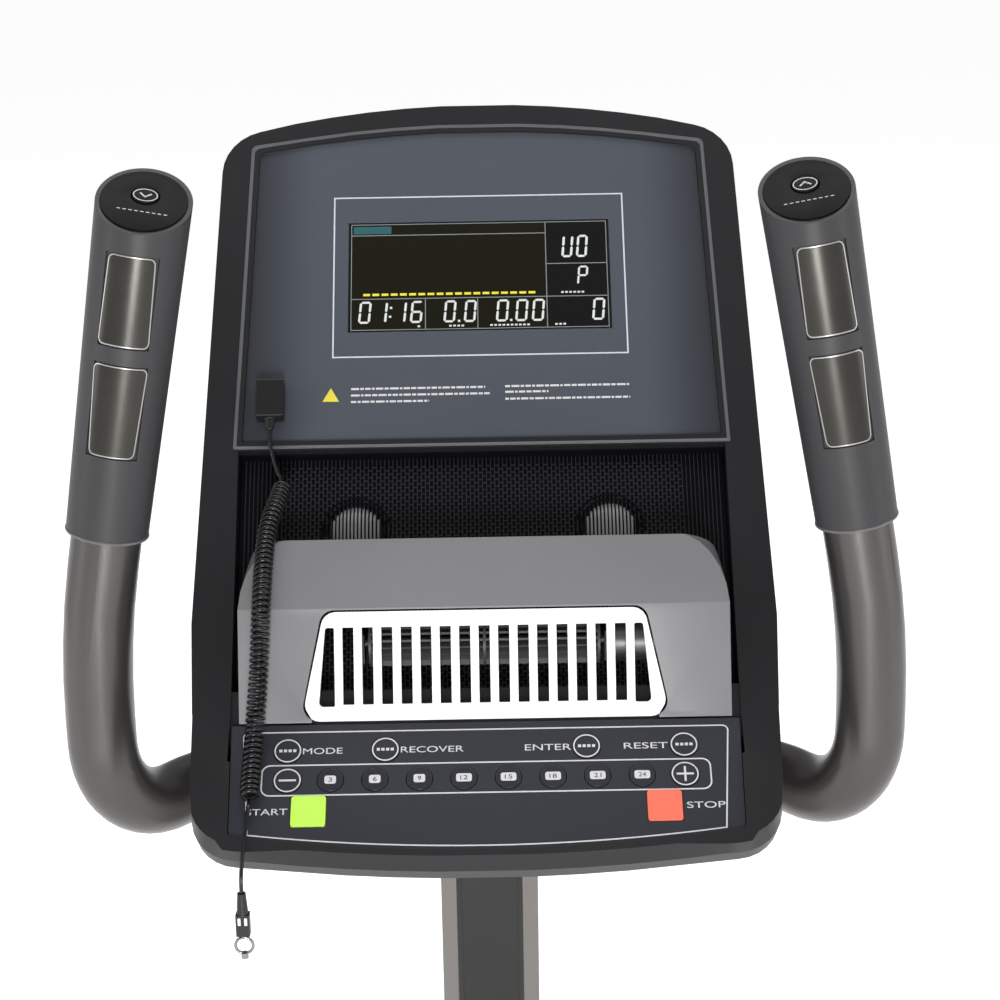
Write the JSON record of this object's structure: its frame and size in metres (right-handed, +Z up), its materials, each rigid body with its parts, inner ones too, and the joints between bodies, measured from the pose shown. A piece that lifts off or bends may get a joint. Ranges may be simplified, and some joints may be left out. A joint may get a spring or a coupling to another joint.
{
  "type": "elliptical trainer console and handlebar assembly",
  "caption": "Console head of an elliptical trainer on its upper mast, with fixed pulse handlebars, fan hood, keypad and curly safety tether.",
  "frame": {"origin": "centre of the open lower end of the upper mast section", "axes": "+Z up along the mast, -Y towards the user, +X towards the user's right hand"},
  "size_m": [0.462, 0.3502, 0.6775],
  "materials": {
    "painted_steel": "satin dark grey powder coat with a fine metallic fleck",
    "trim_plastic": "fine textured moulded plastic",
    "bracket_steel": "black electrocoated pressed steel",
    "zinc_fastener": "zinc plated",
    "grip_plastic": "moulded plastic with a soft fine grain",
    "sensor_steel": "dark polished steel contact plate",
    "gloss_black": "polished black",
    "bezel_plastic": "charcoal moulded plastic, satin",
    "panel_film": "printed graphite film",
    "module_metal": "plain pressed metal",
    "circuit_board": "green circuit board",
    "cord_black": "smooth black cord sheath",
    "mesh_black": "black ribbed mesh",
    "hood_plastic": "mid grey moulded plastic, satin",
    "grille_white": "white moulded plastic",
    "rotor_plastic": "grey moulded plastic",
    "keypad_film": "printed dark blue-grey film",
    "key_rubber": "silicone rubber",
    "key_dark": "dark key face with a pale ring",
    "key_green": "lime green key face",
    "key_red": "red key face",
    "tether_black": "moulded black plastic",
    "clip_metal": "nickel plated wire"
  },
  "bodies": {
    "console_frame": {"mast_tube": "painted_steel", "mast_trim": "trim_plastic", "top_bracket": "bracket_steel", "neck_cover": "trim_plastic", "frame_bolts": "zinc_fastener", "handlebar_left": "painted_steel", "handlebar_right": "painted_steel", "grip_front_left": "grip_plastic", "grip_front_right": "grip_plastic", "grip_rear_left": "grip_plastic", "grip_rear_right": "grip_plastic", "pulse_plates_left": "sensor_steel", "pulse_plates_right": "sensor_steel", "grip_cap_left": "gloss_black", "grip_cap_right": "gloss_black", "grip_screws": "zinc_fastener", "front_bezel": "bezel_plastic", "rear_cover": "bezel_plastic", "cover_screws": "zinc_fastener", "display_panel": "panel_film", "lcd_lens": "gloss_black", "lcd_module": "module_metal", "main_board": "circuit_board", "main_cable": "cord_black", "mesh_panel": "mesh_black", "speakers": "mesh_black", "fan_hood": "hood_plastic", "fan_grille": "grille_white", "blower_motor": "module_metal", "blower_bracket": "bracket_steel", "keypad_panel": "keypad_film", "key_mat": "key_rubber", "key_board": "circuit_board", "tether_socket": "tether_black"},
    "key_mode": {"key_mode": "key_dark"},
    "key_recover": {"key_recover": "key_dark"},
    "key_enter": {"key_enter": "key_dark"},
    "key_reset": {"key_reset": "key_dark"},
    "key_minus": {"key_minus": "key_dark"},
    "key_plus": {"key_plus": "key_dark"},
    "key_quick_1": {"key_quick_1": "key_dark"},
    "key_quick_2": {"key_quick_2": "key_dark"},
    "key_quick_3": {"key_quick_3": "key_dark"},
    "key_quick_4": {"key_quick_4": "key_dark"},
    "key_quick_5": {"key_quick_5": "key_dark"},
    "key_quick_6": {"key_quick_6": "key_dark"},
    "key_quick_7": {"key_quick_7": "key_dark"},
    "key_quick_8": {"key_quick_8": "key_dark"},
    "key_start": {"key_start": "key_green"},
    "key_stop": {"key_stop": "key_red"},
    "level_button_left": {"level_button_left": "gloss_black"},
    "level_button_right": {"level_button_right": "gloss_black"},
    "rotor": {"blower_rotor": "rotor_plastic"},
    "tether": {"tether_plug": "tether_black", "tether_lead_upper": "cord_black", "tether_coil": "cord_black", "tether_lead_lower": "cord_black", "tether_clip": "tether_black"},
    "swivel": {"tether_swivel": "clip_metal"}
  },
  "joints": [
    {"name": "key_mode_press", "type": "slide", "parent": "console_frame", "child": "key_mode", "axis": [0, 0.5592, -0.829], "range_m": [0, 0.0012], "stiffness_N_per_m": 300},
    {"name": "key_recover_press", "type": "slide", "parent": "console_frame", "child": "key_recover", "axis": [0, 0.5592, -0.829], "range_m": [0, 0.0012], "stiffness_N_per_m": 300},
    {"name": "key_enter_press", "type": "slide", "parent": "console_frame", "child": "key_enter", "axis": [0, 0.5592, -0.829], "range_m": [0, 0.0012], "stiffness_N_per_m": 300},
    {"name": "key_reset_press", "type": "slide", "parent": "console_frame", "child": "key_reset", "axis": [0, 0.5592, -0.829], "range_m": [0, 0.0012], "stiffness_N_per_m": 300},
    {"name": "key_minus_press", "type": "slide", "parent": "console_frame", "child": "key_minus", "axis": [0, 0.5592, -0.829], "range_m": [0, 0.0012], "stiffness_N_per_m": 300},
    {"name": "key_plus_press", "type": "slide", "parent": "console_frame", "child": "key_plus", "axis": [0, 0.5592, -0.829], "range_m": [0, 0.0012], "stiffness_N_per_m": 300},
    {"name": "key_quick_1_press", "type": "slide", "parent": "console_frame", "child": "key_quick_1", "axis": [0, 0.5592, -0.829], "range_m": [0, 0.0012], "stiffness_N_per_m": 300},
    {"name": "key_quick_2_press", "type": "slide", "parent": "console_frame", "child": "key_quick_2", "axis": [0, 0.5592, -0.829], "range_m": [0, 0.0012], "stiffness_N_per_m": 300},
    {"name": "key_quick_3_press", "type": "slide", "parent": "console_frame", "child": "key_quick_3", "axis": [0, 0.5592, -0.829], "range_m": [0, 0.0012], "stiffness_N_per_m": 300},
    {"name": "key_quick_4_press", "type": "slide", "parent": "console_frame", "child": "key_quick_4", "axis": [0, 0.5592, -0.829], "range_m": [0, 0.0012], "stiffness_N_per_m": 300},
    {"name": "key_quick_5_press", "type": "slide", "parent": "console_frame", "child": "key_quick_5", "axis": [0, 0.5592, -0.829], "range_m": [0, 0.0012], "stiffness_N_per_m": 300},
    {"name": "key_quick_6_press", "type": "slide", "parent": "console_frame", "child": "key_quick_6", "axis": [0, 0.5592, -0.829], "range_m": [0, 0.0012], "stiffness_N_per_m": 300},
    {"name": "key_quick_7_press", "type": "slide", "parent": "console_frame", "child": "key_quick_7", "axis": [0, 0.5592, -0.829], "range_m": [0, 0.0012], "stiffness_N_per_m": 300},
    {"name": "key_quick_8_press", "type": "slide", "parent": "console_frame", "child": "key_quick_8", "axis": [0, 0.5592, -0.829], "range_m": [0, 0.0012], "stiffness_N_per_m": 300},
    {"name": "key_start_press", "type": "slide", "parent": "console_frame", "child": "key_start", "axis": [0, 0.5592, -0.829], "range_m": [0, 0.0012], "stiffness_N_per_m": 300},
    {"name": "key_stop_press", "type": "slide", "parent": "console_frame", "child": "key_stop", "axis": [0, 0.5592, -0.829], "range_m": [0, 0.0012], "stiffness_N_per_m": 300},
    {"name": "level_button_left_press", "type": "slide", "parent": "console_frame", "child": "level_button_left", "axis": [-0.1565, 0.4337, -0.8874], "range_m": [0, 0.0012], "stiffness_N_per_m": 300},
    {"name": "level_button_right_press", "type": "slide", "parent": "console_frame", "child": "level_button_right", "axis": [0.1565, 0.4337, -0.8874], "range_m": [0, 0.0012], "stiffness_N_per_m": 300},
    {"name": "rotor_spin", "type": "hinge", "parent": "console_frame", "child": "rotor", "pos_m": [0, -0.041, 0.413], "axis": [1, 0, 0], "continuous": true},
    {"name": "tether_pull", "type": "slide", "parent": "console_frame", "child": "tether", "axis": [0, -0.766, 0.6428], "range_m": [0, 0.012]},
    {"name": "swivel_turn", "type": "hinge", "parent": "tether", "child": "swivel", "pos_m": [-0.1276, -0.154, 0.3], "axis": [0, 0, 1], "continuous": true}
  ]
}
